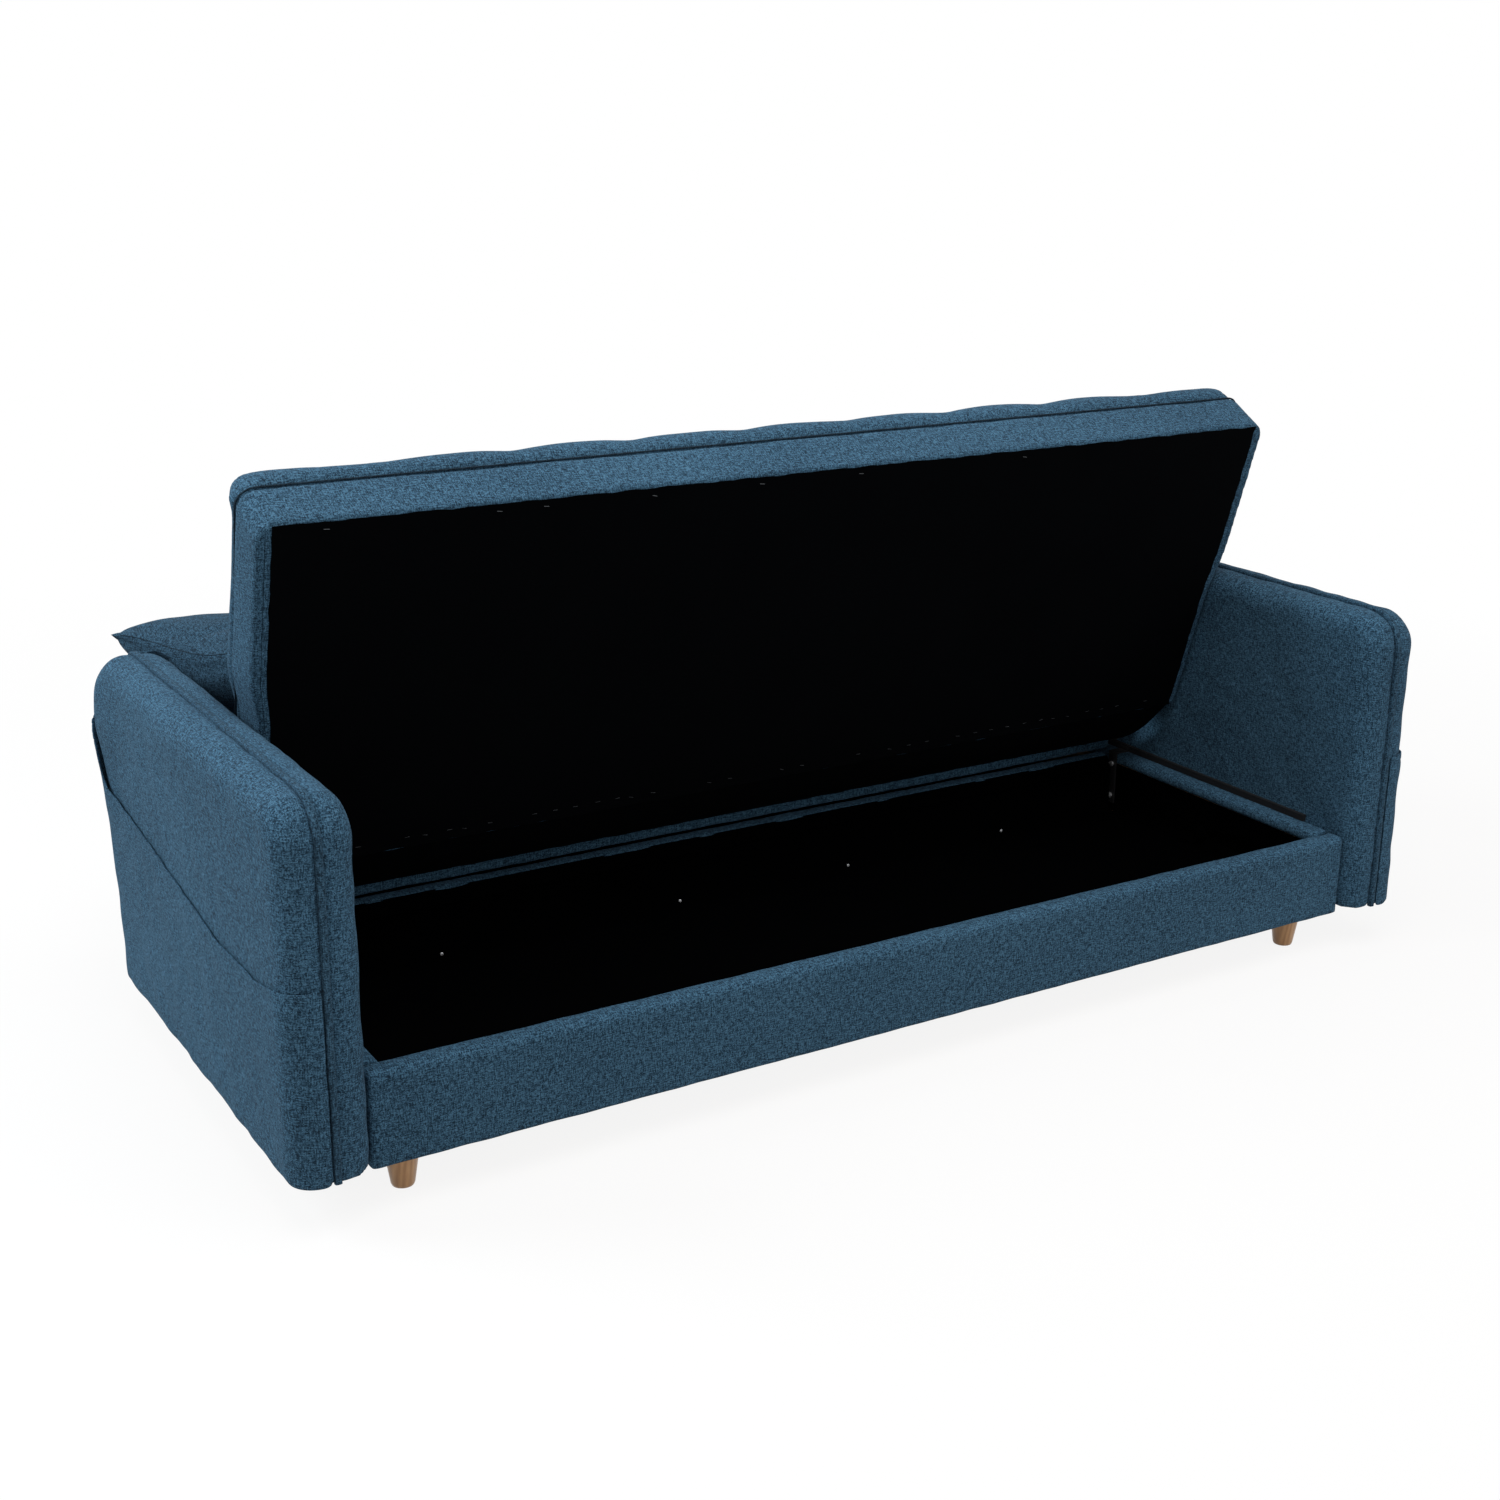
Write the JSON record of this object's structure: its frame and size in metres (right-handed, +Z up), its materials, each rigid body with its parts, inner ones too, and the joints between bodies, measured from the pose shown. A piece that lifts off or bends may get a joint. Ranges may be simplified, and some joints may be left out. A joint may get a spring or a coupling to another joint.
{
  "type": "storage sofa bed",
  "caption": "Storage sofa bed with padded arms, channelled cushions, a seat and back unit that slides forward over an open box, and a back that reclines flat on ratchet hinges.",
  "frame": {"origin": "centre of the footprint on the floor, halfway across and halfway from the arms' rear to the seat's front", "axes": "+Z up, the seat faces -Y, +X across towards the sitter's left-hand side"},
  "size_m": [2.1356, 1.2506, 0.9961],
  "materials": {
    "upholstery": "blue melange weave",
    "piping": "blue melange weave, sewn round a cord",
    "black_cloth": "thin black non-woven cloth",
    "leg_wood": "clear lacquered beech",
    "frame_wood": "raw softwood and board",
    "nylon": "moulded nylon",
    "zinc_steel": "zinc plated",
    "black_steel": "black powder coat"
  },
  "bodies": {
    "base": {"rear_board": "frame_wood", "rear_rail_cover": "upholstery", "side_board_right": "frame_wood", "side_board_left": "frame_wood", "cross_board": "frame_wood", "cross_rail_cover": "upholstery", "side_rail_cover_right": "upholstery", "side_rail_cover_left": "upholstery", "front_board": "frame_wood", "floor_panel": "frame_wood", "floor_battens": "frame_wood", "corner_blocks": "frame_wood", "storage_lining": "black_cloth", "arm_frame_right": "frame_wood", "arm_frame_left": "frame_wood", "arm_inner_pad_right": "upholstery", "arm_inner_pad_left": "upholstery", "arm_outer_pad_right": "upholstery", "arm_outer_pad_left": "upholstery", "arm_welt_right": "piping", "arm_welt_left": "piping", "arm_pocket_right": "upholstery", "arm_pocket_left": "upholstery", "leg_rear_right": "leg_wood", "leg_rear_left": "leg_wood", "leg_middle_right": "leg_wood", "leg_middle_left": "leg_wood", "leg_plates": "zinc_steel", "runner_strip_right": "black_steel", "runner_strip_left": "black_steel", "runner_bracket_right": "black_steel", "runner_bracket_left": "black_steel", "base_fasteners": "zinc_steel"},
    "seat": {"seat_frame": "frame_wood", "seat_slats": "frame_wood", "seat_border": "upholstery", "seat_cushion": "upholstery", "seat_piping": "piping", "seat_dust_cover": "black_cloth", "seat_fascia": "upholstery", "fascia_foot": "frame_wood", "leg_front_right": "leg_wood", "leg_front_left": "leg_wood", "seat_hinge_plate_right": "black_steel", "seat_hinge_plate_left": "black_steel", "seat_hinge_bolts": "zinc_steel"},
    "back": {"back_frame": "frame_wood", "back_slats": "frame_wood", "back_border": "upholstery", "back_cushion": "upholstery", "back_piping": "piping", "back_dust_cover": "black_cloth", "back_hinge_plate_right": "black_steel", "back_hinge_plate_left": "black_steel", "back_hinge_bolts": "zinc_steel"},
    "pawl_left": {"pawl_left": "black_steel"},
    "pawl_right": {"pawl_right": "black_steel"},
    "roller_left": {"roller_left": "nylon"},
    "roller_right": {"roller_right": "nylon"},
    "cushion": {"scatter_cushion": "upholstery"}
  },
  "joints": [
    {"name": "seat_slide", "type": "slide", "parent": "base", "child": "seat", "axis": [0, 1, 0], "range_m": [0, 0.3]},
    {"name": "back_recline", "type": "hinge", "parent": "seat", "child": "back", "pos_m": [0, -0.0195, 0.383], "axis": [-1, 0, 0], "range_deg": [-8.2, 73.8]},
    {"name": "pawl_left_turn", "type": "hinge", "parent": "seat", "child": "pawl_left", "pos_m": [-0.9355, -0.06295, 0.3522], "axis": [1, 0, 0], "range_deg": [0, 8.7]},
    {"name": "pawl_right_turn", "type": "hinge", "parent": "seat", "child": "pawl_right", "pos_m": [0.9355, -0.06295, 0.3522], "axis": [1, 0, 0], "range_deg": [0, 8.7]},
    {"name": "roller_left_spin", "type": "hinge", "parent": "seat", "child": "roller_left", "pos_m": [-0.945, -0.0465, 0.2475], "axis": [-1, 0, 0], "range_deg": [-2, 1150]},
    {"name": "roller_right_spin", "type": "hinge", "parent": "seat", "child": "roller_right", "pos_m": [0.945, -0.0465, 0.2475], "axis": [-1, 0, 0], "range_deg": [-2, 1150]},
    {"name": "cushion_lift", "type": "slide", "parent": "seat", "child": "cushion", "axis": [0, 0, 1], "range_m": [0, 0.25]}
  ],
  "couplings": [
    {"joint": "pawl_right_turn", "follows": "pawl_left_turn", "ratio": 1},
    {"joint": "roller_left_spin", "follows": "seat_slide", "rad_per_m": 66.667},
    {"joint": "roller_right_spin", "follows": "seat_slide", "rad_per_m": 66.667}
  ]
}
